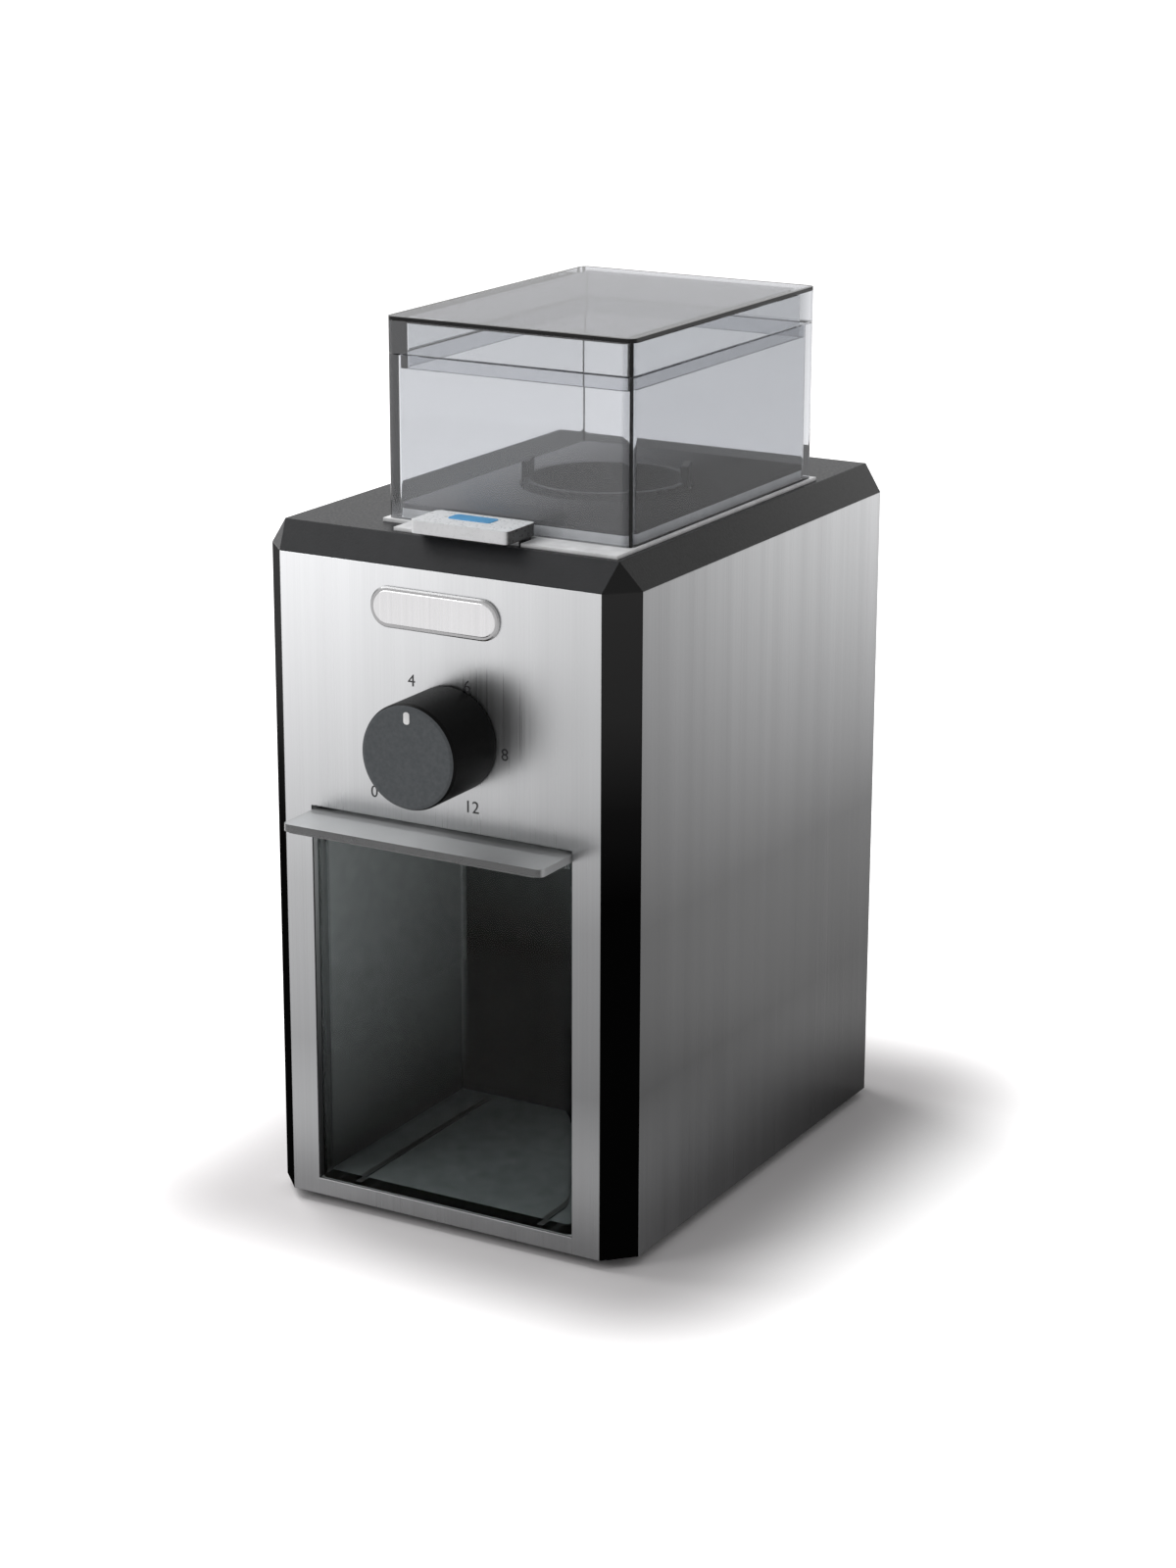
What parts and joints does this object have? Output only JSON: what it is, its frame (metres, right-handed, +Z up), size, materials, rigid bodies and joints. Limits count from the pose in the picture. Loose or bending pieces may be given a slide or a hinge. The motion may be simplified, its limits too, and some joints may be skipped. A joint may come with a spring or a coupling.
{
  "type": "burr coffee grinder",
  "caption": "Upright electric burr grinder: steel box body, smoked bean hopper on top, front dial, start button and pull-out grounds container with a pull lip.",
  "frame": {"origin": "on the counter, below the middle of the overall width and depth", "axes": "+Z up, -Y towards the front with the dial and the container, +X to the right seen from the front"},
  "size_m": [0.118, 0.1876, 0.2576],
  "materials": {
    "black_plastic": "fine spark-eroded texture, moulded black",
    "brushed_steel": "vertical brushed stainless steel",
    "light_grey_plastic": "smooth light grey moulding",
    "dark_grey_plastic": "smooth dark grey moulding",
    "clear_smoke": "lightly smoked clear plastic",
    "dark_smoke": "dark smoked clear plastic",
    "white_plastic": "white push button",
    "rubber": "soft black rubber",
    "plain_steel": "bright turned steel",
    "burr_steel": "hardened tool steel, ground faces",
    "lamination_steel": "stacked electrical steel",
    "copper": "enamelled copper winding",
    "brass": "sintered bronze and brass",
    "gear_plastic": "natural acetal",
    "pressed_aluminium": "die-cast aluminium",
    "carbon": "pressed carbon",
    "circuit_board": "glass-epoxy board",
    "component_plastic": "component cases"
  },
  "bodies": {
    "housing": {"chassis": "black_plastic", "front_panel": "brushed_steel", "left_panel": "brushed_steel", "right_panel": "brushed_steel", "rear_cover": "black_plastic", "top_cover": "black_plastic", "base_plate": "black_plastic", "rubber_feet": "rubber", "housing_screws": "plain_steel", "bay_liner": "black_plastic", "interlock_switch": "component_plastic", "hopper_collar": "light_grey_plastic", "hopper_floor": "dark_grey_plastic", "hopper": "clear_smoke", "button_spring": "plain_steel", "start_switch": "black_plastic", "timer_nut": "brass", "timer_body": "brass", "burr_bushes": "brass", "grinding_chamber": "black_plastic", "chamber_seal": "rubber", "coffee_chute": "black_plastic", "gearbox_case": "light_grey_plastic", "gearbox_cover": "light_grey_plastic", "idler_pin": "plain_steel", "motor_stator": "lamination_steel", "field_coils": "copper", "motor_lower_bracket": "pressed_aluminium", "motor_upper_bracket": "pressed_aluminium", "motor_bushes": "brass", "brush_holders": "component_plastic", "carbon_brushes": "carbon", "motor_bolts": "plain_steel", "motor_mounts": "rubber", "control_board": "circuit_board", "board_components": "component_plastic", "cord_gland": "black_plastic"},
    "container": {"ground_container": "dark_smoke", "container_lid": "dark_smoke"},
    "lid": {"hopper_lid": "clear_smoke"},
    "button": {"start_button": "white_plastic", "switch_plunger": "gear_plastic"},
    "knob": {"selector_knob": "dark_grey_plastic", "timer_shaft": "plain_steel"},
    "adjuster": {"grind_adjuster": "dark_grey_plastic"},
    "upper_carrier": {"burr_carrier": "gear_plastic", "upper_burr": "burr_steel", "burr_screws": "plain_steel"},
    "rotor": {"motor_shaft": "plain_steel", "rotor_core": "lamination_steel", "rotor_winding": "copper", "commutator": "copper", "cooling_fan": "gear_plastic", "motor_pinion": "brass"},
    "idler": {"idler_gear": "gear_plastic"},
    "burr_drive": {"burr_gear": "gear_plastic", "burr_shaft": "plain_steel", "burr_hub": "gear_plastic", "lower_burr": "burr_steel", "burr_nut": "plain_steel"}
  },
  "joints": [
    {"name": "container_pull", "type": "slide", "parent": "housing", "child": "container", "axis": [0, -1, 0], "range_m": [0, 0.11]},
    {"name": "lid_lift", "type": "slide", "parent": "housing", "child": "lid", "axis": [0, 0, 1], "range_m": [0, 0.06]},
    {"name": "start_press", "type": "slide", "parent": "housing", "child": "button", "axis": [0, 0, -1], "range_m": [0, 0.0015], "stiffness_N_per_m": 600, "springref_m": -0.002, "deforming": ["button_spring"]},
    {"name": "knob_turn", "type": "hinge", "parent": "housing", "child": "knob", "pos_m": [0.004, -0.08075, 0.147], "axis": [0, 1, 0], "range_deg": [0, 270]},
    {"name": "grind_set", "type": "hinge", "parent": "housing", "child": "adjuster", "pos_m": [0.012, -0.00075, 0.19], "axis": [0, 0, 1], "range_deg": [0, 90]},
    {"name": "burr_gap", "type": "slide", "parent": "housing", "child": "upper_carrier", "axis": [0, 0, 1], "range_m": [0, 0.0008]},
    {"name": "motor_spin", "type": "hinge", "parent": "housing", "child": "rotor", "pos_m": [-0.00891, 0.05295, 0.07], "axis": [0, 0, 1], "continuous": true},
    {"name": "idler_spin", "type": "hinge", "parent": "housing", "child": "idler", "pos_m": [0.00424, 0.02823, 0.138], "axis": [0, 0, 1], "continuous": true},
    {"name": "burr_spin", "type": "hinge", "parent": "housing", "child": "burr_drive", "pos_m": [0.012, -0.00075, 0.15], "axis": [0, 0, 1], "continuous": true}
  ],
  "couplings": [
    {"joint": "idler_spin", "follows": "motor_spin", "ratio": -0.25},
    {"joint": "burr_spin", "follows": "motor_spin", "ratio": 0.0625},
    {"joint": "grind_set", "follows": "burr_gap", "rad_per_m": 1963.5}
  ]
}
